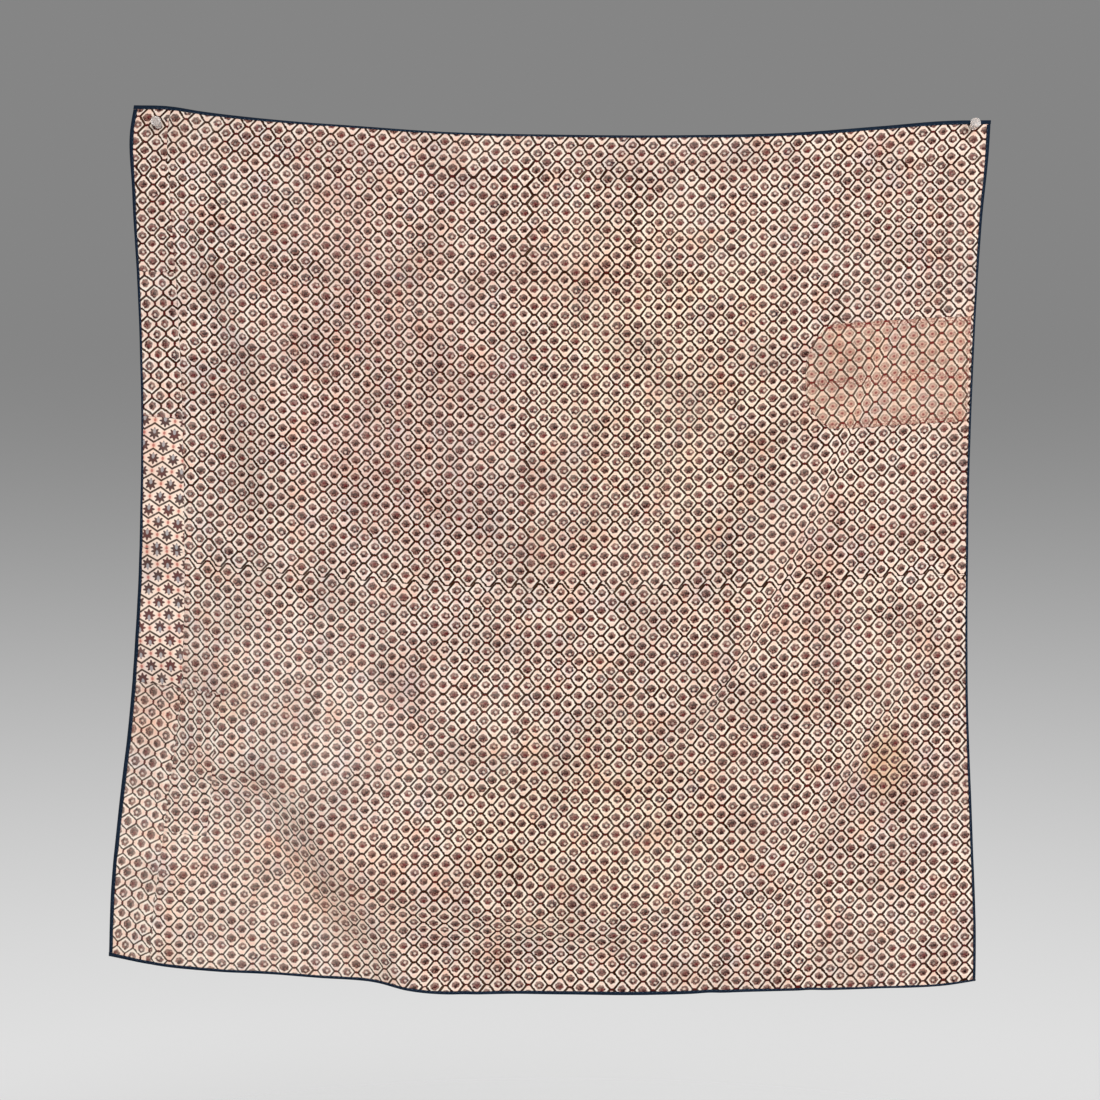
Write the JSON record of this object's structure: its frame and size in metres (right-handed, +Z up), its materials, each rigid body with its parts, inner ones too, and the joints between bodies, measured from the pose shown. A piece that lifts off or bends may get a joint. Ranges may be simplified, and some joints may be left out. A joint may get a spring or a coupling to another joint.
{
  "type": "printed cotton hanging with push pins",
  "caption": "Square block-printed cotton cloth with a pieced edge strip, a sewn patch and a narrow binding, hung in soft swags from a push pin at each top corner.",
  "frame": {"origin": "on the wall plane, midway between the needles of the two push pins", "axes": "+Y into the wall, +Z up; the printed front faces -Y"},
  "size_m": [0.882, 0.0519, 0.89],
  "materials": {
    "printed_cotton": "matt plain weave, block printed in black, red and maroon on cream",
    "palmette_cotton": "matt plain weave, block printed with small palmettes",
    "patch_cotton": "matt plain weave, faded orange-pink print",
    "navy_cotton": "matt folded tape",
    "clear_plastic": "clear moulded plastic",
    "steel": "plain drawn wire"
  },
  "bodies": {
    "root": {"printed_field": "printed_cotton", "let_in_piece": "printed_cotton", "edge_strip_1": "printed_cotton", "edge_strip_2": "printed_cotton", "edge_strip_3": "palmette_cotton", "edge_strip_4": "palmette_cotton", "edge_strip_5": "printed_cotton", "sewn_patch": "patch_cotton", "binding_top": "navy_cotton", "binding_bottom": "navy_cotton", "binding_left": "navy_cotton", "binding_right": "navy_cotton", "pin_body_left": "clear_plastic", "pin_body_right": "clear_plastic", "pin_needle_left": "steel", "pin_needle_right": "steel"}
  },
  "joints": []
}
